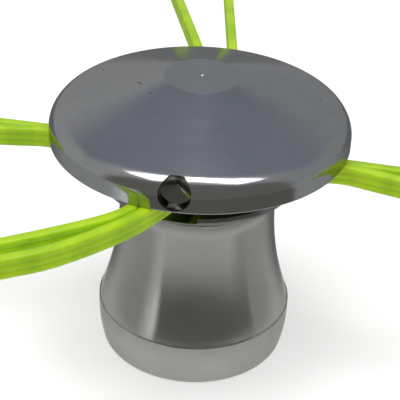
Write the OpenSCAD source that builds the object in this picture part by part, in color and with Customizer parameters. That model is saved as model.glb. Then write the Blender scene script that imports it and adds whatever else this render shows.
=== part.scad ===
// Four-exit fixed line head for a brushcutter, turned from aluminium bar, standing on its mounting face.
// Origin on the spindle axis at the mounting face. +Z points to the glide plate that runs on the ground.

/* [Bell body] */
// Radius of the mounting face, before its edge round
base_r = 32.4; // [30:0.1:33]
// Round on the edge of the mounting face
base_round = 1.2; // [0.5:0.1:2]
// Height of the tapered band, up to the crisp widest edge
band_h = 16; // [12:0.5:20]
// Radius at the crisp widest edge
widest_r = 33.9; // [33:0.1:36]
// Outward bow of the tapered band
band_bow = 0.6; // [0:0.1:1]
// Radius of the cove that the widest edge ends in
cove_r = 4; // [2:0.1:5]
// Slope of the flare above the cove, in radius over height
flare = 0.13; // [0.08:0.01:0.3]
// Radius of the waist
waist_r = 26.6; // [24:0.1:29]
// Height of the waist above the mounting face
waist_z = 56; // [50:0.5:58]

/* [Line flange] */
// Radius of the flange that the lines lie on
flange_r = 34; // [33:0.1:38]
// Thickness of the flange at its edge
flange_t = 2.2; // [1.5:0.1:3.5]
// Height of the flange's upper face above the mounting face
flange_z = 68.5; // [66:0.5:74]
// Bevel on the flange's upper edge
flange_bevel = 0.6; // [0.3:0.1:1]
// Depth of the milled channels below the flange face
channel_drop = 1.6; // [1:0.1:2.5]
// Radius of the four quarter lugs between the channels
lug_r = 30; // [26:0.5:31]
// Round on the inner corner of each lug
lug_corner = 2; // [1:0.1:3]

/* [Glide plate] */
// Radius of the glide plate
plate_r = 50; // [45:0.5:60]
// Height of the plate's straight rim
rim_h = 5; // [4:0.1:8]
// Round between the rim and the cone
shoulder_r = 4.9; // [3:0.1:7]
// Rise of the plate from the shoulder plane to its flat crown
crown_rise = 16.3; // [12:0.1:20]
// Radius of the flat crown
crown_r = 12.7; // [9:0.1:18]
// Bevel on the lower edge of the rim
rim_bevel = 0.4; // [0.2:0.1:1]
// Diameter of the drilled wrench dimple in the rim
dimple_d = 10.2; // [6:0.1:11]
// Point angle of the drills that made the dimple and the blind holes
drill_angle = 118; // [90:1:140]
// Height of the dimple's axis above the underside of the plate
dimple_z = 5.7; // [5.4:0.1:6.5]
// Direction of the dimple around the axis, from +X
dimple_az = 277; // [0:1:359]
// Radius of the centre mark on the crown
centre_mark_r = 0.8; // [0.5:0.1:1.5]

/* [Stud and arbor] */
// Radius of the stud that joins the plate and the body
stud_r = 5; // [4:0.1:6]
// Depth of the stud in the body, below the channel floor
stud_in_body = 20; // [14:0.5:26]
// Depth of the stud in the plate
stud_in_plate = 12; // [9:0.5:13]
// Bevel on both ends of the stud
stud_bevel = 0.8; // [0.4:0.1:1.2]
// Radial room round the stud in its holes
stud_room = 0.05; // [0.02:0.01:0.1]
// Radius of the arbor hole at its thread crests
arbor_r = 4.32; // [3.4:0.01:6]
// Length of the arbor hole's full wall
arbor_depth = 24; // [16:0.5:30]
// Radius of the register that centres on the blade holder's boss
register_r = 12.9; // [10:0.1:14]
// Depth of the register
register_h = 4; // [2:0.1:6]

/* [Line strips] */
// Height of a strip on its edge
strip_w = 6.8; // [6:0.1:8]
// Thickness of a strip over its ribs
strip_t = 3.6; // [3:0.1:4]
// Number of ribs along each face
rib_count = 3; // [2:1:4]
// Depth of the grooves between the ribs
rib_groove = 0.5; // [0.2:0.05:0.8]
// Length of each pre-cut strip
strip_len = 260; // [220:1:320]
// Room between a strip and the faces that hold it on edge
strip_room = 0.05; // [0.02:0.01:0.15]
// Room between a strip, the stud and the channel wall
lane_room = 0.2; // [0.1:0.05:0.4]

/* [Hidden] */
turned = 160;
small_round = 64;

// Two strips stand side by side in each channel with the stud between them.
lane = stud_r + lane_room + strip_t / 2;
channel_half = lane + strip_t / 2 + lane_room;
// The channels are two strips deep, because the pairs cross one above the other.
floor_z = flange_z - channel_drop;
lower_z = floor_z + strip_room + strip_w / 2;
upper_z = lower_z + strip_w + 2 * strip_room;
plate_z = upper_z + strip_w / 2 + strip_room;
shoulder_z = plate_z + rim_h;
crown_z = shoulder_z + crown_rise;
mouth = flange_r;

// Length of a drill's point for each millimetre of its radius.
tip_ratio = 1 / tan(drill_angle / 2);

function arc(centre, r, from, to, steps) =
    [for (i = [0:steps]) let (a = from + (to - from) * i / steps)
        [centre[0] + r * cos(a), centre[1] + r * sin(a)]];

function bezier(a, b, c, d, steps) =
    [for (i = [0:steps]) let (u = i / steps, v = 1 - u)
        v * v * v * a + 3 * v * v * u * b + 3 * v * u * u * c + u * u * u * d];

// Band between the mounting face and the widest edge, with its slight bow.
function band_r(z) =
    let (t = z / band_h) base_r + (widest_r - base_r) * t + 4 * band_bow * t * (1 - t);
band_lean = atan((widest_r - base_r + 4 * band_bow) / band_h);
band_steps = 8;
band = [for (i = [0:band_steps]) let (z = base_round + (band_h - base_round) * i / band_steps)
    [band_r(z), z]];
base_edge = arc([band_r(base_round) - base_round, base_round], base_round, -90, -band_lean, 5);

// Cove from the widest edge inwards, which turns upright into the flare. The leans are those of its normals.
cove_foot = 52;
cove_head = atan(flare);
cove_steps = 8;
cove_centre = [widest_r, band_h] + cove_r * [cos(cove_foot), sin(cove_foot)];
cove = arc(cove_centre, cove_r, 180 + cove_foot, 180 + cove_head, cove_steps);

// Flare from the cove up to the waist, which it meets nearly upright.
flare_foot = cove[cove_steps];
flare_low = band_h + 0.29 * (waist_z - band_h);
flare_high = band_h + 0.5 * (waist_z - band_h);
waist_lean = 1.5;
flare_steps = 20;
flare_curve = bezier(flare_foot, flare_foot + (flare_low - flare_foot[1]) * [-flare, 1],
    [waist_r + waist_lean, flare_high], [waist_r, waist_z], flare_steps);

// Hollow under the flange, a quarter ellipse from the waist out to a narrow flat below the flange edge.
flange_flat = 0.3;
hollow_top = flange_z - flange_t;
hollow_reach = flange_r - flange_flat - waist_r;
hollow_steps = 10;
hollow = [for (i = [1:hollow_steps]) let (a = 90 * i / hollow_steps)
    [waist_r + hollow_reach * (1 - cos(a)), waist_z + (hollow_top - waist_z) * sin(a)]];

bell_profile = concat([[0, 0]], base_edge, band, [for (i = [1:cove_steps]) cove[i]],
    [for (i = [1:flare_steps]) flare_curve[i]], hollow, [[flange_r, hollow_top], [flange_r, flange_z - flange_bevel],
     [flange_r - flange_bevel, flange_z], [0, flange_z]]);

// Cross of two channels with the inner corners of the lugs rounded.
channel_reach = flange_r + 5;
channel_cross = [for (k = [0:3]) each
    [for (p = concat([[channel_half, channel_reach]],
        arc([channel_half + lug_corner, channel_half + lug_corner], lug_corner, 180, 270, 5),
        [[channel_reach, channel_half]]))
        [p[0] * cos(-90 * k) - p[1] * sin(-90 * k), p[0] * sin(-90 * k) + p[1] * cos(-90 * k)]]];

// Blind hole with a drill point, opening upwards at the origin.
module blind_hole(r, depth) {
    rotate_extrude($fn = small_round)
        polygon([[0, 0.5], [r, 0.5], [r, -depth], [0, -depth - r * tip_ratio]]);
}

module bell_body() {
    color("silver")
    difference() {
        union() {
            rotate_extrude($fn = turned) polygon(bell_profile);
            translate([0, 0, flange_z - 1]) cylinder(r = lug_r, h = plate_z - flange_z + 1, $fn = turned);
        }
        translate([0, 0, floor_z]) linear_extrude(plate_z - floor_z + 1) polygon(channel_cross);
        translate([0, 0, floor_z]) blind_hole(stud_r + stud_room, stud_in_body);
        translate([0, 0, -0.5]) cylinder(r = register_r, h = register_h + 0.5, $fn = turned);
        translate([0, 0, register_h]) mirror([0, 0, 1]) blind_hole(arbor_r, arbor_depth);
    }
}

// The cone is tangent to the shoulder round.
shoulder_centre = [plate_r - shoulder_r, shoulder_z];
to_crown = [crown_r, crown_z] - shoulder_centre;
cone_start = atan2(to_crown[1], to_crown[0]) - acos(shoulder_r / norm(to_crown));
plate_profile = concat([[0, plate_z], [plate_r - rim_bevel, plate_z], [plate_r, plate_z + rim_bevel]],
    arc(shoulder_centre, shoulder_r, 0, cone_start, 12), [[crown_r, crown_z], [0, crown_z]]);
dimple_r = dimple_d / 2;
dimple_skin = plate_r - sqrt(plate_r * plate_r - dimple_r * dimple_r);

module wrench_dimple() {
    rotate([0, 0, dimple_az]) translate([plate_r - dimple_skin, 0, plate_z + dimple_z]) rotate([0, 90, 0])
        rotate_extrude($fn = small_round)
            polygon([[0, 3], [dimple_r, 3], [dimple_r, 0], [0, -dimple_r * tip_ratio]]);
}

module glide_plate() {
    color("gray")
    difference() {
        rotate_extrude($fn = turned) polygon(plate_profile);
        translate([0, 0, plate_z]) mirror([0, 0, 1]) blind_hole(stud_r + stud_room, stud_in_plate);
        wrench_dimple();
        translate([0, 0, crown_z - centre_mark_r])
            cylinder(r1 = 0, r2 = 2 * centre_mark_r, h = 2 * centre_mark_r, $fn = small_round);
    }
}

module clamp_stud() {
    bottom = floor_z - stud_in_body;
    top = plate_z + stud_in_plate;
    color("dimgray")
    rotate_extrude($fn = small_round)
        polygon([[0, bottom], [stud_r - stud_bevel, bottom], [stud_r, bottom + stud_bevel],
                 [stud_r, top - stud_bevel], [stud_r - stud_bevel, top], [0, top]]);
}

// A strip is routed along its channel as [along, aside, lift]: along the channel, across it, and up.
// Each half starts in the middle of the head and runs out of one mouth.
function run_length(p, i = 1) = i >= len(p) ? 0 : norm(p[i] - p[i - 1]) + run_length(p, i + 1);

// The free end runs straight on until the half strip has its length.
function to_length(half) =
    let (n = len(half), way = half[n - 1] - half[n - 2], left = strip_len / 2 - run_length(half))
    concat(half, [half[n - 1] + way / norm(way) * left]);

function backwards(p) = [for (i = [len(p) - 1:-1:1]) p[i]];
function whole_route(near_half, far_half) = concat(backwards(to_length(far_half)), to_length(near_half));

// Smooth run through the route's points.
bend_steps = 4;
function smooth_point(a, b, c, d, u) =
    0.5 * (2 * b + (c - a) * u + (2 * a - 5 * b + 4 * c - d) * u * u + (3 * b - a - 3 * c + d) * u * u * u);
function smooth_run(p) = let (n = len(p)) concat(
    [for (i = [0:n - 2]) let (a = p[max(i - 1, 0)], d = p[min(i + 2, n - 1)])
        for (s = [0:bend_steps - 1]) smooth_point(a, p[i], p[i + 1], d, s / bend_steps)],
    [p[n - 1]]);

// Outline of a strip: round ribs side by side along both faces.
rib_steps = 4;
face_steps = rib_count * rib_steps;
function rib_half(f) = strip_t / 2 - rib_groove * (1 - abs(sin(180 * rib_count * f)));
strip_outline = concat(
    [for (i = [0:face_steps]) let (f = i / face_steps) [rib_half(f), (f - 0.5) * strip_w]],
    [for (i = [face_steps:-1:0]) let (f = i / face_steps) [-rib_half(f), (f - 0.5) * strip_w]]);

function unit(v) = v / norm(v);

module strip_along(route) {
    path = smooth_run(route);
    n = len(path);
    m = len(strip_outline);
    rings = [for (i = [0:n - 1])
        let (t = unit(path[min(i + 1, n - 1)] - path[max(i - 1, 0)]),
             s = unit(cross(t, [0, 0, 1])), up = cross(s, t))
        for (q = strip_outline) path[i] + q[0] * s + q[1] * up];
    sides = [for (i = [0:n - 2]) for (j = [0:m - 1]) let (k = (j + 1) % m)
        for (f = [[i * m + j, i * m + k, (i + 1) * m + k], [i * m + j, (i + 1) * m + k, (i + 1) * m + j]]) f];
    first = [for (j = [m - 1:-1:0]) j];
    last = [for (j = [0:m - 1]) (n - 1) * m + j];
    polyhedron(points = rings, faces = concat([first], sides, [last]), convexity = 6);
}

// Upper pair, from the front mouth to the back mouth. Aside is +X, and both ends curl to the left.
module strip_upper_right() {
    front = [[0, 0, 0], [-14, -1, 0], [-mouth + 6, -3.3, 0], [-mouth - 7, -6.4, 0], [-mouth - 24, -14, 0],
             [-mouth - 43, -28, 0], [-mouth - 54, -41, 0]];
    back = [[0, 0, 0], [16, -0.8, 0], [mouth, -3.3, 0], [mouth + 34, -13.6, 0], [mouth + 64, -22.6, 0]];
    color("yellowgreen")
    strip_along([for (p = whole_route(front, back)) [lane + p[1], p[0], upper_z + p[2]]]);
}

module strip_upper_left() {
    front = [[0, 0, 0], [-lug_r + 12, 0.1, 0], [-lug_r, 0.3, 0], [-mouth - 6, 0.6, 0], [-mouth - 15.5, -0.1, 0],
             [-mouth - 23.5, -5.2, 0], [-mouth - 33, -15, 0], [-mouth - 45, -29, 0], [-mouth - 54, -41, 0]];
    back = [[0, 0, 0], [lug_r - 16, 0.1, 0], [lug_r - 3, 0.3, 0], [mouth + 8, -1.6, 0], [mouth + 30, -11.7, 0],
            [mouth + 58, -25.4, 0]];
    color("yellowgreen")
    strip_along([for (p = whole_route(front, back)) [-lane + p[1], p[0], upper_z + p[2]]]);
}

// Lower pair, from the left mouth to the right mouth. Aside is +Y.
module strip_lower_front() {
    left = [[0, 0, 0], [-12, 0, 0], [-20, 0, 0.2], [-mouth, 0.2, 1.3], [-mouth - 17, 0.4, 2.7],
            [-mouth - 33, -3.6, 2.8]];
    right = [[0, 0, 0], [12, 0.2, 0], [20, 0.8, 0.5], [mouth, 3, 3.4], [mouth + 14, 4.6, 5.8],
             [mouth + 34, 3, 5.5]];
    color("greenyellow")
    strip_along([for (p = whole_route(left, right)) [p[0], -lane + p[1], lower_z + p[2]]]);
}

module strip_lower_rear() {
    left = [[0, 0, 0], [-14, -0.8, 0], [-mouth, -4.2, 0], [-mouth - 17, -7, 0], [-mouth - 33, -11, 1.3]];
    right = [[0, 0, 0], [12, -0.5, 0], [20, -1.4, 0.2], [mouth, -3.2, 2.2], [mouth + 14, -4.4, 4.2],
             [mouth + 32, -3.2, 4.3]];
    color("greenyellow")
    strip_along([for (p = whole_route(left, right)) [p[0], lane + p[1], lower_z + p[2]]]);
}

bell_body();
glide_plate();
clamp_stud();
strip_upper_right();
strip_upper_left();
strip_lower_front();
strip_lower_rear();
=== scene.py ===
import bpy, math
from mathutils import Matrix, Vector


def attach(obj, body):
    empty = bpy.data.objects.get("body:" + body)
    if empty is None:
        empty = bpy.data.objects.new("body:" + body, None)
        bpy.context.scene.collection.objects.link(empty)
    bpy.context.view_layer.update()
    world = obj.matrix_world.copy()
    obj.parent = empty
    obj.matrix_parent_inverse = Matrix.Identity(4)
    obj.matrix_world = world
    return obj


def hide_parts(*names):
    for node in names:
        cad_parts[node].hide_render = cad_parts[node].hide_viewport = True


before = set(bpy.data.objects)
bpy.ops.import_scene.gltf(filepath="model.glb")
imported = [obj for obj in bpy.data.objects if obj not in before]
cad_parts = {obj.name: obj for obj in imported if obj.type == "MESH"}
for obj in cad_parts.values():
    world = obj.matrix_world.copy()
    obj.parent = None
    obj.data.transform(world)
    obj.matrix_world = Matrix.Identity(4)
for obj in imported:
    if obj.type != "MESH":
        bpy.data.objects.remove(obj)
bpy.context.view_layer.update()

# Bell body.
# One piece turned from aluminium bar and milled with two crossed channels. Its
# band is satin, the flare above it is polished, and the underside is bored and tapped.

MM = 0.001


def start(kind, **size):
    """Adds one primitive with nothing else selected and leaves it in edit mode."""
    bpy.ops.object.select_all(action="DESELECT")
    getattr(bpy.ops.mesh, "primitive_" + kind + "_add")(**size)
    bpy.ops.object.mode_set(mode="EDIT")
    bpy.ops.mesh.select_all(action="SELECT")
    return bpy.context.object


def turned(name, profile, steps):
    """Spins a profile of (radius, height) points in mm, axis to axis, into a closed shell."""
    piece = start("plane", size=MM)
    piece.name = piece.data.name = name
    bpy.ops.mesh.merge(type="CENTER")
    at = Vector((0, 0, 0))
    for i, (r, z) in enumerate(profile):
        to = Vector((r * MM, 0, z * MM))
        if i == 0:
            bpy.ops.transform.translate(value=to - at)
        else:
            bpy.ops.mesh.extrude_region_move(TRANSFORM_OT_translate={"value": to - at})
        at = to
    bpy.ops.mesh.select_all(action="SELECT")
    bpy.ops.mesh.spin(steps=steps, angle=math.tau, center=(0, 0, 0), axis=(0, 0, 1))
    bpy.ops.mesh.select_all(action="SELECT")
    bpy.ops.mesh.remove_doubles(threshold=0.002 * MM)
    bpy.ops.mesh.normals_make_consistent(inside=False)
    bpy.ops.object.mode_set(mode="OBJECT")
    return piece


def hold(piece):
    """Selects one piece alone and makes it the active one."""
    bpy.ops.object.select_all(action="DESELECT")
    bpy.context.view_layer.objects.active = piece
    piece.select_set(True)


def cut(piece, tool):
    """Cuts one closed tool out of a piece and removes the tool."""
    hold(piece)
    modifier = piece.modifiers.new("cut", "BOOLEAN")
    modifier.operation = "DIFFERENCE"
    modifier.solver = "EXACT"
    modifier.object = tool
    bpy.ops.object.modifier_apply(modifier="cut")
    bpy.data.objects.remove(tool)


def arc(centre, r, first, last, steps):
    """Points of an arc between two angles in degrees."""
    angles = [math.radians(first + (last - first) * i / steps) for i in range(steps + 1)]
    return [(centre[0] + r * math.cos(a), centre[1] + r * math.sin(a)) for a in angles]


def bezier(a, b, c, d, steps):
    """Points of a cubic curve."""
    weights = [((1 - u) ** 3, 3 * u * (1 - u) ** 2, 3 * u * u * (1 - u), u ** 3)
               for u in (i / steps for i in range(steps + 1))]
    return [tuple(w[0] * a[k] + w[1] * b[k] + w[2] * c[k] + w[3] * d[k] for k in (0, 1))
            for w in weights]


def straight(a, b, margin=0.3):
    """Two support points just inside a straight stretch, which keep its shading flat."""
    near = margin / math.hypot(b[0] - a[0], b[1] - a[1])
    return [tuple(a[k] + (b[k] - a[k]) * t for k in (0, 1)) for t in (near, 1 - near)]


# Radii and heights in mm, angles in degrees and slopes as mm across for each mm up.
base_r, base_round, base_lean = 32.4, 1.2, 0.25
band_h, band_bow, band_steps = 16, 0.6, 16
widest_r, edge_break = 33.9, 0.1
cove_r, cove_foot = 1.0, 58
flare, flare_low, flare_high, flare_steps = 0.29, 9, 36, 48
waist_r, waist_z, waist_lean = 26.7, 56, 0.05
flange_r, flange_low, flange_top = 34, 66.3, 68.5
flange_edge, flange_bevel, flange_flat = 0.15, 0.6, 0.3
lug_r, lug_bevel, plate_z = 30, 0.2, 80.7
channel_floor, channel_half, channel_tool_h, channel_overrun = 66.9, 9.0, 20, 6
stud_hole_r, stud_hole_end, drill_tip = 5.05, 46.9, 0.6009
arbor_r, arbor_end, mouth_bevel = 4.32, 28, 0.4
register_r, register_h = 12.9, 4
bell_steps = 288

band_shares = [0.08 + 0.9 * i / band_steps for i in range(band_steps + 1)]
band = [(base_r + (widest_r - base_r) * t + 4 * band_bow * t * (1 - t), band_h * t)
        for t in band_shares]
cove_centre = (widest_r + cove_r * math.cos(math.radians(cove_foot)),
               band_h + cove_r * math.sin(math.radians(cove_foot)))
cove = arc(cove_centre, cove_r, 180 + cove_foot, 180 + math.degrees(math.atan(flare)), 16)
flare_foot = cove[-1]
flare_curve = bezier(flare_foot, (flare_foot[0] - flare * flare_low, flare_foot[1] + flare_low),
                     (waist_r + waist_lean, flare_high), (waist_r, waist_z), flare_steps)
hollow_reach, hollow_h = flange_r - flange_flat - waist_r, flange_low - waist_z
hollow = [(waist_r + hollow_reach * (1 - math.cos(a)), waist_z + hollow_h * math.sin(a))
          for a in (math.radians(5 * i) for i in range(1, 19))]
face_edge = (base_r - base_round + base_lean, 0)
bell_profile = (
    [(0, arbor_end + arbor_r * drill_tip), (arbor_r, arbor_end),
     (arbor_r, register_h + mouth_bevel), (arbor_r + mouth_bevel, register_h)]
    + straight((arbor_r + mouth_bevel, register_h), (register_r, register_h))
    + [(register_r, register_h), (register_r, mouth_bevel), (register_r + mouth_bevel, 0)]
    + straight((register_r + mouth_bevel, 0), face_edge)
    + arc((face_edge[0], base_round), base_round, -90, -14, 6) + band
    + arc((widest_r - edge_break, band_h), edge_break, 3, cove_foot, 4)
    + cove[1:] + flare_curve[1:] + hollow
    + arc((flange_r - flange_edge, flange_low + flange_edge), flange_edge, -90, 0, 3)
    + arc((flange_r - flange_bevel, flange_top - flange_bevel), flange_bevel, 0, 90, 5)
    + straight((flange_r - flange_bevel, flange_top), (lug_r, flange_top))
    + [(lug_r, flange_top), (lug_r, plate_z - lug_bevel), (lug_r - lug_bevel, plate_z)]
    + [(stud_hole_r, plate_z), (stud_hole_r, stud_hole_end),
       (0, stud_hole_end - stud_hole_r * drill_tip)])
bell = turned("bell_turned", bell_profile, bell_steps)

for turn in (0, 1):
    channel = start("cube", size=1)
    bpy.ops.transform.resize(value=(2 * (flange_r + channel_overrun) * MM, 2 * channel_half * MM,
                                    channel_tool_h * MM))
    if turn:
        bpy.ops.transform.rotate(value=math.pi / 2, orient_axis="Z", center_override=(0, 0, 0))
    bpy.ops.transform.translate(value=(0, 0, (channel_floor + channel_tool_h / 2) * MM))
    bpy.ops.object.mode_set(mode="OBJECT")
    cut(bell, channel)
hold(bell)
bpy.ops.object.shade_smooth_by_angle(angle=math.radians(32))
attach(bell, "root")
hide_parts("bell_body")


def new_material(name):
    """A new material, its node tree and its shader."""
    material = bpy.data.materials.new(name)
    material.use_nodes = True
    return material, material.node_tree, material.node_tree.nodes["Principled BSDF"]


def feed(tree, target, source):
    """Sets a socket to a value, or links another socket to it."""
    if isinstance(source, bpy.types.NodeSocket):
        tree.links.new(source, target)
    else:
        target.default_value = source


def node(tree, kind, inputs=None, **settings):
    """Adds a node with its settings, and feeds its inputs by name or number."""
    made = tree.nodes.new("ShaderNode" + kind)
    for key, value in settings.items():
        setattr(made, key, value)
    for key, source in (inputs or {}).items():
        feed(tree, made.inputs[key], source)
    return made


def calc(tree, operation, a, b=0.0, c=0.0):
    """One step of arithmetic."""
    return node(tree, "Math", {0: a, 1: b, 2: c}, operation=operation).outputs[0]


def ramp(tree, value, low, high, to_low, to_high):
    """Takes a value from one range smoothly to another and stays within its ends."""
    ends = {"Value": value, "From Min": low, "From Max": high, "To Min": to_low, "To Max": to_high}
    return node(tree, "MapRange", ends, interpolation_type="SMOOTHSTEP").outputs[0]


def blend(tree, factor, a, b):
    """Mixes two colours."""
    made = node(tree, "Mix", data_type="RGBA")
    feed(tree, made.inputs[0], factor)
    feed(tree, made.inputs[6], a)
    feed(tree, made.inputs[7], b)
    return made.outputs[2]


def group(name, numbers, outputs):
    """An empty shader node group with number inputs and number outputs."""
    tree = bpy.data.node_groups.new(name, "ShaderNodeTree")
    for socket in numbers:
        tree.interface.new_socket(socket, in_out="INPUT", socket_type="NodeSocketFloat")
    for socket in outputs:
        tree.interface.new_socket(socket, in_out="OUTPUT", socket_type="NodeSocketFloat")
    return tree, tree.nodes.new("NodeGroupInput"), tree.nodes.new("NodeGroupOutput")


def round_place(tree):
    """Radius, height and the direction round the axis of the shaded point."""
    place = node(tree, "TexCoord").outputs["Object"]
    x, y, z = node(tree, "SeparateXYZ", {0: place}).outputs
    flat = node(tree, "CombineXYZ", {0: x, 1: y}).outputs[0]
    radius = node(tree, "VectorMath", {0: flat}, operation="LENGTH").outputs["Value"]
    way = node(tree, "VectorMath", {0: flat}, operation="NORMALIZE").outputs[0]
    return x, y, z, radius, way


def tool_marks_group():
    """Rings left by a lathe tool, fine and broad, that change slowly round the axis."""
    tree, inside, outside = group("tool marks", ("Pitch", "Sweep"), ("Fine", "Broad", "Smudge"))
    x, y, z, radius, way = round_place(tree)
    way_x, way_y, _ = node(tree, "SeparateXYZ", {0: way}).outputs
    for name, share, detail in (("Fine", 1.0, 2.0), ("Broad", 0.2, 3.0)):
        pitch = calc(tree, "MULTIPLY", inside.outputs["Pitch"], share)
        ring = node(tree, "CombineXYZ", {0: calc(tree, "MULTIPLY", way_x, inside.outputs["Sweep"]),
                                         1: calc(tree, "MULTIPLY", way_y, inside.outputs["Sweep"]),
                                         2: calc(tree, "MULTIPLY", radius, pitch)}).outputs[0]
        rise = calc(tree, "MULTIPLY", z, pitch)
        noise = node(tree, "TexNoise", {"Vector": ring, "W": rise, "Scale": 1.0, "Detail": detail},
                     noise_dimensions="4D")
        feed(tree, outside.inputs[name], noise.outputs["Fac"])
    place = node(tree, "CombineXYZ", {0: x, 1: y, 2: z}).outputs[0]
    smudge = node(tree, "TexNoise", {"Vector": place, "Scale": 55.0, "Detail": 5.0,
                                     "Roughness": 0.6})
    feed(tree, outside.inputs["Smudge"], smudge.outputs["Fac"])
    return tree


def thread_group():
    """Flanks of a screw thread round the axis: 0 at the roots, 1 at the crests."""
    tree, inside, outside = group("screw thread", ("Pitch",), ("Flank",))
    x, y, z, _, _ = round_place(tree)
    turn = calc(tree, "DIVIDE", calc(tree, "ARCTAN2", y, x), math.tau)
    phase = calc(tree, "ADD", calc(tree, "DIVIDE", z, inside.outputs["Pitch"]), turn)
    flank = calc(tree, "PINGPONG", calc(tree, "MULTIPLY", phase, 2.0), 1.0)
    feed(tree, outside.inputs["Flank"], flank)
    return tree


tool_marks = tool_marks_group()
screw_thread = thread_group()

body_finish, tree, shader = new_material("turned body aluminium")
bare, dulled, painted_shade = (0.40, 0.405, 0.385, 1), (0.36, 0.365, 0.35, 1), (0.22, 0.22, 0.21, 1)
polished_roughness, satin_roughness, roughness_spread = 0.14, 0.32, 0.05
ring_depth, thread_depth, arbor_pitch = 0.003, 0.6, 1.25
marks = node(tree, "Group", {"Pitch": 2600, "Sweep": 0.6}, node_tree=tool_marks)
_, _, z, radius, _ = round_place(tree)
satin = ramp(tree, z, (band_h - 0.1) * MM, (band_h + 0.3) * MM, 1.0, 0.0)
soil = ramp(tree, marks.outputs["Smudge"], 0.45, 0.75, 0.0, 1.0)
# The waist under the flange is darkened in colour: painted shade where the flange hangs over it.
shade_under_flange = ramp(tree, z, (waist_z + 1) * MM, (waist_z + 6) * MM, 0.0, 1.0)
feed(tree, shader.inputs["Base Color"],
     blend(tree, shade_under_flange, blend(tree, soil, bare, dulled), painted_shade))
uneven = calc(tree, "SUBTRACT", marks.outputs["Broad"], 0.5)
rough = calc(tree, "ADD", ramp(tree, satin, 0.0, 1.0, polished_roughness, satin_roughness),
             calc(tree, "MULTIPLY", uneven, roughness_spread))
feed(tree, shader.inputs["Roughness"], rough)
shader.inputs["Metallic"].default_value = 1.0
shader.inputs["Specular Tint"].default_value = (0.7, 0.7, 0.7, 1)
shader.inputs["Anisotropic"].default_value = 0.5
shader.inputs["Anisotropic Rotation"].default_value = 0.25
feed(tree, shader.inputs["Tangent"],
     node(tree, "Tangent", direction_type="RADIAL", axis="Z").outputs[0])
tapped = calc(tree, "LESS_THAN", radius, (arbor_r + 0.2) * MM)
thread = node(tree, "Group", {"Pitch": arbor_pitch * MM}, node_tree=screw_thread)
turns = calc(tree, "MULTIPLY", thread.outputs["Flank"], tapped)
height = calc(tree, "ADD", calc(tree, "MULTIPLY", marks.outputs["Fine"], ring_depth),
              calc(tree, "MULTIPLY", turns, thread_depth))
bump = node(tree, "Bump", {"Height": height, "Strength": 0.6, "Distance": 1.0 * MM})
feed(tree, shader.inputs["Normal"], bump.outputs[0])
bell.data.materials.append(body_finish)

# Glide plate.
# The domed plate that runs on the ground, turned from aluminium and screwed down
# over the lines. A drilled dimple in its rim takes the spanner's pin.

# The dimple's floor is the radius where the drill's point begins.
plate_r, rim_h, rim_bevel, shoulder_r = 50, 3.4, 0.4, 7.5
crown_r, crown_z, crown_edge_r, centre_mark_r = 12.7, 102, 0.9, 0.8
stud_in_plate, stud_mouth_bevel = 12, 0.3
dimple_r, dimple_z, dimple_az, dimple_floor = 5.1, 5.7, 277, 45.5
plate_steps = 320

shoulder_z = plate_z + rim_h
shoulder_centre = (plate_r - shoulder_r, shoulder_z)
to_crown = (crown_r - shoulder_centre[0], crown_z - shoulder_z)
cone_lean = math.atan2(to_crown[1], to_crown[0]) - math.acos(shoulder_r / math.hypot(*to_crown))
cone_normal = math.degrees(cone_lean)
shoulder = arc(shoulder_centre, shoulder_r, 0, cone_normal, 28)
crown_round = arc((crown_r - 0.5, crown_z - crown_edge_r), crown_edge_r, cone_normal, 90, 3)
plate_profile = (
    [(0, plate_z + stud_in_plate + stud_hole_r * drill_tip), (stud_hole_r, plate_z + stud_in_plate),
     (stud_hole_r, plate_z + stud_mouth_bevel), (stud_hole_r + stud_mouth_bevel, plate_z)]
    + straight((stud_hole_r + stud_mouth_bevel, plate_z), (plate_r - rim_bevel, plate_z))
    + arc((plate_r - rim_bevel, plate_z + rim_bevel), rim_bevel, -90, 0, 4)
    + straight((plate_r, plate_z + rim_bevel), (plate_r, shoulder_z))
    + shoulder + straight(shoulder[-1], crown_round[0]) + crown_round
    + straight(crown_round[-1], (2 * centre_mark_r, crown_z))
    + [(2 * centre_mark_r, crown_z), (centre_mark_r, crown_z), (0, crown_z - centre_mark_r)])
plate = turned("plate_turned", plate_profile, plate_steps)

drill = start("cone", vertices=96, radius1=0.02 * MM, radius2=dimple_r * MM,
              depth=dimple_r * drill_tip * MM)
bpy.ops.transform.translate(value=(0, 0, -dimple_r * drill_tip / 2 * MM))
bpy.ops.mesh.select_all(action="DESELECT")
bpy.ops.object.mode_set(mode="OBJECT")
for face in drill.data.polygons:
    face.select = face.normal.z > 0.9
bpy.ops.object.mode_set(mode="EDIT")
drill_run = (0, 0, (plate_r + 1 - dimple_floor) * MM)
bpy.ops.mesh.extrude_region_move(TRANSFORM_OT_translate={"value": drill_run})
bpy.ops.mesh.select_all(action="SELECT")
bpy.ops.transform.rotate(value=-math.pi / 2, orient_axis="Y", center_override=(0, 0, 0))
bpy.ops.transform.translate(value=(dimple_floor * MM, 0, (plate_z + dimple_z) * MM))
bpy.ops.transform.rotate(value=-math.radians(dimple_az), orient_axis="Z",
                         center_override=(0, 0, 0))
bpy.ops.object.mode_set(mode="OBJECT")
cut(plate, drill)
hold(plate)
bpy.ops.object.shade_smooth_by_angle(angle=math.radians(32))
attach(plate, "root")
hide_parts("glide_plate")


def nick(tree, centre, along, across, lean):
    """A mask of one small oval mark. Its centre and sizes are in mm, and its lean in degrees."""
    mapping = node(tree, "Mapping", {"Vector": node(tree, "TexCoord").outputs["Object"],
                                     "Location": [c * MM for c in centre],
                                     "Rotation": (0, 0, math.radians(lean)),
                                     "Scale": (along * MM, across * MM, 2.5 * MM)},
                   vector_type="TEXTURE")
    reach = node(tree, "VectorMath", {0: mapping.outputs[0]}, operation="LENGTH").outputs["Value"]
    return ramp(tree, reach, 0.55, 1.0, 1.0, 0.0)


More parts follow.
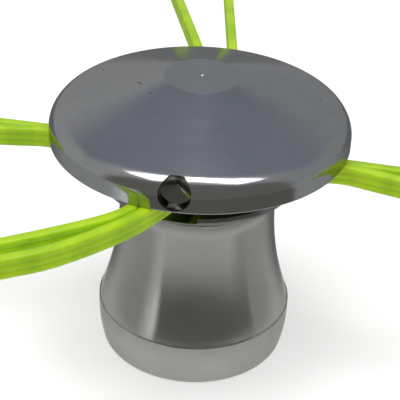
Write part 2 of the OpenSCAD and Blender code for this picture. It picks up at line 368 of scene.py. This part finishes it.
plate_finish, tree, shader = new_material("turned plate aluminium")
clean, grey, knocked = (0.42, 0.425, 0.43, 1), (0.38, 0.39, 0.40, 1), (0.12, 0.12, 0.12, 1)
dimple_shade, drill_light = (0.10, 0.10, 0.095, 1), (0.36, 0.36, 0.33, 1)
cone_roughness, crown_roughness, roughness_spread = 0.15, 0.30, 0.06
nicks = (((-19.0, -7.0, 99.2), 2.2, 0.28, -40), ((-13.4, -13.3, 99.8), 1.0, 0.25, 20),
         ((36.7, 14.3, 92.6), 0.6, 0.4, 0), ((44.6, 15.0, 90.0), 0.8, 0.35, 60),
         ((47.9, -11.1, 89.2), 0.9, 0.3, 80))
marks = node(tree, "Group", {"Pitch": 2200, "Sweep": 0.5}, node_tree=tool_marks)
_, _, z, radius, _ = round_place(tree)
in_dimple = node(tree, "Mapping", {"Vector": node(tree, "TexCoord").outputs["Object"],
                                   "Location": (0, 0, (plate_z + dimple_z) * MM),
                                   "Rotation": (0, 0, math.radians(dimple_az))},
                 vector_type="TEXTURE").outputs[0]
out_way, side_way, up_way = node(tree, "SeparateXYZ", {0: in_dimple}).outputs
dimple_reach = calc(tree, "POWER", calc(tree, "ADD", calc(tree, "POWER", side_way, 2.0),
                                        calc(tree, "POWER", up_way, 2.0)), 0.5)
dimple_cone = calc(tree, "MULTIPLY_ADD", dimple_reach, drill_tip,
                   (dimple_floor - dimple_r * drill_tip) * MM)
on_cone = calc(tree, "COMPARE", out_way, dimple_cone, 0.06 * MM)
on_wall = calc(tree, "GREATER_THAN", dimple_reach, (dimple_r - 0.02) * MM)
drilled = calc(tree, "MULTIPLY", calc(tree, "LESS_THAN", dimple_reach, (dimple_r + 0.02) * MM),
               calc(tree, "MAXIMUM", on_cone, on_wall))
drilled = calc(tree, "MULTIPLY", drilled, calc(tree, "GREATER_THAN", out_way, 0.0))
ring_place = node(tree, "CombineXYZ", {0: dimple_reach}).outputs[0]
drill_rings = node(tree, "TexNoise", {"Vector": ring_place, "Scale": 3200.0,
                                      "Detail": 2.0}).outputs["Fac"]
on_crown = ramp(tree, radius, (crown_r - 0.4) * MM, (crown_r + 0.1) * MM, 1.0, 0.0)
crown_mask = calc(tree, "MULTIPLY", on_crown, calc(tree, "GREATER_THAN", z, (crown_z - 1) * MM))
soil = calc(tree, "MAXIMUM", ramp(tree, marks.outputs["Smudge"], 0.42, 0.72, 0.0, 1.0),
            calc(tree, "MULTIPLY", crown_mask, 0.7))
knocks = 0.0
for centre, along, wide, lean in nicks:
    knocks = calc(tree, "MAXIMUM", knocks, nick(tree, centre, along, wide, lean))
metal = blend(tree, knocks, blend(tree, soil, clean, grey), knocked)
# The drill's rings inside the dimple are real, but their dark tone is painted shade in the recess.
feed(tree, shader.inputs["Base Color"],
     blend(tree, drilled, metal, blend(tree, drill_rings, dimple_shade, drill_light)))
uneven = calc(tree, "SUBTRACT", marks.outputs["Broad"], 0.5)
rough = calc(tree, "ADD", ramp(tree, crown_mask, 0.0, 1.0, cone_roughness, crown_roughness),
             calc(tree, "MULTIPLY", uneven, roughness_spread))
feed(tree, shader.inputs["Roughness"], rough)
shader.inputs["Metallic"].default_value = 1.0
shader.inputs["Specular Tint"].default_value = (0.7, 0.7, 0.7, 1)
shader.inputs["Anisotropic"].default_value = 0.35
shader.inputs["Anisotropic Rotation"].default_value = 0.25
feed(tree, shader.inputs["Tangent"],
     node(tree, "Tangent", direction_type="RADIAL", axis="Z").outputs[0])
bump = node(tree, "Bump", {"Height": marks.outputs["Fine"], "Strength": 0.35,
                           "Distance": 0.03 * MM})
feed(tree, shader.inputs["Normal"], bump.outputs[0])
plate.data.materials.append(plate_finish)

# Clamp stud.
# The steel stud that pulls the plate down on the lines. It shows only between the
# lines in the channels, so it stays the CAD node with a rolled thread in its finish.

stud_pitch, shaded_root_steel, crest_steel = 1.5, (0.16, 0.16, 0.17, 1), (0.42, 0.42, 0.43, 1)
stud_finish, tree, shader = new_material("threaded steel")
flank = node(tree, "Group", {"Pitch": stud_pitch * MM}, node_tree=screw_thread).outputs["Flank"]
# The thread's roots are painted darker than its crests: painted shade in the grooves.
feed(tree, shader.inputs["Base Color"], blend(tree, flank, shaded_root_steel, crest_steel))
feed(tree, shader.inputs["Roughness"], ramp(tree, flank, 0.0, 1.0, 0.5, 0.28))
shader.inputs["Metallic"].default_value = 1.0
bump = node(tree, "Bump", {"Height": flank, "Distance": 0.6 * MM})
feed(tree, shader.inputs["Normal"], bump.outputs[0])
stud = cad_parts["clamp_stud"]
stud.data.materials.clear()
stud.data.materials.append(stud_finish)

# Cutting strips.
# Four lengths of ribbed lime nylon, laid on edge straight through the crossed
# channels, one pair over the other, and held there by the clamped plate.

line_finish, tree, shader = new_material("ribbed lime nylon")
lime, deep = (0.50, 0.76, 0.012, 1), (0.36, 0.62, 0.010, 1)
place = node(tree, "TexCoord").outputs["Object"]
cloud = node(tree, "TexNoise", {"Vector": place, "Scale": 90.0, "Detail": 3.0}).outputs["Fac"]
colour = blend(tree, ramp(tree, cloud, 0.35, 0.7, 0.0, 1.0), lime, deep)
feed(tree, shader.inputs["Base Color"], colour)
shader.inputs["Roughness"].default_value = 0.38
shader.inputs["Specular IOR Level"].default_value = 0.35
shader.inputs["Subsurface Weight"].default_value = 0.35
shader.inputs["Subsurface Radius"].default_value = (0.9, 1.0, 0.15)
shader.inputs["Subsurface Scale"].default_value = 1.5 * MM
# The strips glow faintly in their own colour: painted light that stands in for the nylon's
# fluorescence and lightens their shaded sides.
feed(tree, shader.inputs["Emission Color"], colour)
shader.inputs["Emission Strength"].default_value = 0.10
grain = node(tree, "TexNoise", {"Vector": place, "Scale": 1400.0, "Detail": 2.0}).outputs["Fac"]
bump = node(tree, "Bump", {"Height": grain, "Strength": 0.3, "Distance": 0.05 * MM})
feed(tree, shader.inputs["Normal"], bump.outputs[0])

for name in ("strip_upper_right", "strip_upper_left", "strip_lower_front", "strip_lower_rear"):
    hold(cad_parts[name])
    bpy.ops.object.duplicate()
    strip = bpy.context.object
    strip.name = strip.data.name = name.replace("strip", "line")
    strip.data.materials.clear()
    bpy.ops.object.mode_set(mode="EDIT")
    bpy.ops.mesh.select_all(action="SELECT")
    bpy.ops.mesh.remove_doubles(threshold=0.0001 * MM)
    bpy.ops.mesh.tris_convert_to_quads()
    bpy.ops.object.mode_set(mode="OBJECT")
    bpy.ops.object.shade_smooth_by_angle(angle=math.radians(50))
    strip.data.materials.append(line_finish)
    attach(strip, "root")
    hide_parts(name)

# Studio.
# A white floor that keeps the head's shadow, two soft lamps overhead, grey cards for
# the turned metal to reflect, and the camera at the photo's viewing angle.

camera_turn = math.radians(15)


def across(x, y, z):
    """A place given from the camera's side: to its right, away from it and up, in metres."""
    return Vector((x * math.cos(camera_turn) - y * math.sin(camera_turn),
                   x * math.sin(camera_turn) + y * math.cos(camera_turn), z))


def white_to_the_eye(tree):
    """1 for the rays of the camera, reflections and clear materials, 0 for light on the head."""
    path = node(tree, "LightPath")
    bounced = calc(tree, "MAXIMUM", path.outputs["Is Glossy Ray"],
                   path.outputs["Is Transmission Ray"])
    return calc(tree, "MAXIMUM", path.outputs["Is Camera Ray"], bounced)


floor = start("plane", size=8)
floor.name = "floor"
bpy.ops.object.mode_set(mode="OBJECT")
floor_glow, sky_light = 0.45, 0.4
floor_paint, tree, shader = new_material("white floor")
shader.inputs["Base Color"].default_value = (0.86, 0.86, 0.86, 1)
shader.inputs["Roughness"].default_value = 0.9
shader.inputs["Specular IOR Level"].default_value = 0.0
shader.inputs["Emission Color"].default_value = (1, 1, 1, 1)
feed(tree, shader.inputs["Emission Strength"],
     calc(tree, "MULTIPLY", white_to_the_eye(tree), floor_glow))
floor.data.materials.append(floor_paint)

world = bpy.data.worlds.new("studio")
bpy.context.scene.world = world
world.use_nodes = True
tree = world.node_tree
back = tree.nodes["Background"]
back.inputs["Color"].default_value = (1, 1, 1, 1)
feed(tree, back.inputs["Strength"],
     ramp(tree, white_to_the_eye(tree), 0.0, 1.0, sky_light, 1.0))


def unseen(made, name):
    """Names a studio piece that only reflections see, and gives it a glowing paint."""
    made.name = name
    made.visible_camera = made.visible_diffuse = False
    made.visible_shadow = made.visible_transmission = False
    paint, tree, shader = new_material(name + " paint")
    shader.inputs["Base Color"].default_value = (0, 0, 0, 1)
    shader.inputs["Specular IOR Level"].default_value = 0.0
    shader.inputs["Emission Strength"].default_value = 1.0
    made.data.materials.append(paint)
    return tree, shader


# The tent is a grey dome round the head, darker and cooler high behind it and dark on
# the camera's side.
left_side, right_side = (0.50, 0.50, 0.50, 1), (0.40, 0.41, 0.42, 1)
high_side, front_side = (0.30, 0.32, 0.38, 1), (0.20, 0.195, 0.185, 1)
tent = start("uv_sphere", segments=96, ring_count=48, radius=1.8)
bpy.ops.transform.rotate(value=-camera_turn, orient_axis="Z", center_override=(0, 0, 0))
bpy.ops.object.mode_set(mode="OBJECT")
bpy.ops.object.shade_smooth()
tree, shader = unseen(tent, "tent")
way = node(tree, "VectorMath", {0: node(tree, "TexCoord").outputs["Object"]},
           operation="NORMALIZE").outputs[0]
seen_way = node(tree, "VectorRotate", {"Vector": way, "Angle": -camera_turn},
                rotation_type="Z_AXIS").outputs[0]
x, y, z = node(tree, "SeparateXYZ", {0: seen_way}).outputs
wall = blend(tree, ramp(tree, x, -0.5, 0.5, 0.0, 1.0), left_side, right_side)
high = calc(tree, "MULTIPLY", ramp(tree, z, 0.45, 0.75, 0.0, 1.0),
            ramp(tree, y, -0.1, 0.25, 0.0, 1.0))
wall = blend(tree, high, wall, high_side)
front = calc(tree, "MULTIPLY", ramp(tree, y, -0.45, -0.3, 1.0, 0.0),
             ramp(tree, z, 0.9, 0.97, 1.0, 0.0))
feed(tree, shader.inputs["Emission Color"], blend(tree, front, wall, front_side))


def mat(name, lift, tone, *edges):
    """A glowing mat on the floor. Each edge says by what it is measured, which is the radius, the
    turn from the front or the turn to either side, and where the mat is clear and where solid."""
    made = start("plane", size=3)
    bpy.ops.transform.translate(value=(0, 0, lift))
    bpy.ops.object.mode_set(mode="OBJECT")
    tree, shader = unseen(made, name)
    feed(tree, shader.inputs["Emission Color"], tone)
    x, y, _, radius, _ = round_place(tree)
    bearing = calc(tree, "ARCTAN2", x, calc(tree, "MULTIPLY", y, -1.0))
    turn = calc(tree, "WRAP", calc(tree, "SUBTRACT", bearing, camera_turn), math.pi, -math.pi)
    measures = {"radius": radius, "turn": turn, "aside": calc(tree, "ABSOLUTE", turn)}
    cover = 1.0
    for measure, clear, solid in edges:
        if clear < solid:
            edge = ramp(tree, measures[measure], clear, solid, 0.0, 1.0)
        else:
            edge = ramp(tree, measures[measure], solid, clear, 1.0, 0.0)
        cover = calc(tree, "MULTIPLY", cover, edge)
    feed(tree, shader.inputs["Alpha"], cover)


# Radii are in metres and turns in radians, and each mat lies over the one before it.
mat("shadow mat", 0.0005, (0.72, 0.73, 0.71, 1), ("radius", 0.042, 0.052), ("radius", 0.16, 0.13))
# The side and rear mats are painted shadow of the head on the floor, which only reflections see.
mat("side mat", 0.0010, (0.42, 0.43, 0.43, 1), ("radius", 0.075, 0.120), ("aside", 0.7, 1.1))
mat("rear mat", 0.0015, (0.24, 0.245, 0.25, 1), ("radius", 0.045, 0.070), ("aside", 1.75, 2.35))
mat("front mat", 0.0020, (0.16, 0.155, 0.14, 1), ("radius", 0.100, 0.150),
    ("turn", -0.76, -0.64), ("turn", 1.2, 1.12))

lamp_aim = (0, 0, 0.09)


def lamp(name, place, width, depth, watts):
    """A soft lamp over the head, turned to face the plate."""
    light = bpy.data.lights.new(name, "AREA")
    light.shape, light.size, light.size_y, light.energy = "RECTANGLE", width, depth, watts
    made = bpy.data.objects.new(name, light)
    made.location = place
    made.rotation_euler = (Vector(lamp_aim) - place).to_track_quat("-Z", "Y").to_euler()
    bpy.context.scene.collection.objects.link(made)


lamp("left lamp", across(-0.23, -0.13, 1.05), 0.34, 0.68, 2.8)
lamp("right lamp", across(0.19, -0.13, 1.05), 0.30, 0.68, 2.6)

# The lens and its shifts were fitted in pixels of a picture this wide.
picture_width, focal_pixels, shift_pixels = 400, 1220.9, (2.61, -1.59)
sight = Vector((0, 0, 0.055))
distance, elevation, roll = 0.420, math.radians(32.255), math.radians(2.295)
back_way = across(0, -math.cos(elevation), math.sin(elevation))
right = across(1, 0, 0)
up = back_way.cross(right)
rolled_right = right * math.cos(roll) + up * math.sin(roll)
rolled_up = up * math.cos(roll) - right * math.sin(roll)
camera_data = bpy.data.cameras.new("camera")
camera_data.sensor_width = 36
camera_data.lens = focal_pixels / picture_width * camera_data.sensor_width
camera_data.shift_x, camera_data.shift_y = (v / picture_width for v in shift_pixels)
camera_data.clip_start = 0.01
camera = bpy.data.objects.new("camera", camera_data)
camera.matrix_world = (Matrix.Translation(sight + back_way * distance)
                       @ Matrix((rolled_right, rolled_up, back_way)).transposed().to_4x4())
bpy.context.scene.collection.objects.link(camera)
bpy.context.scene.camera = camera
bpy.context.scene.view_settings.view_transform = "Standard"
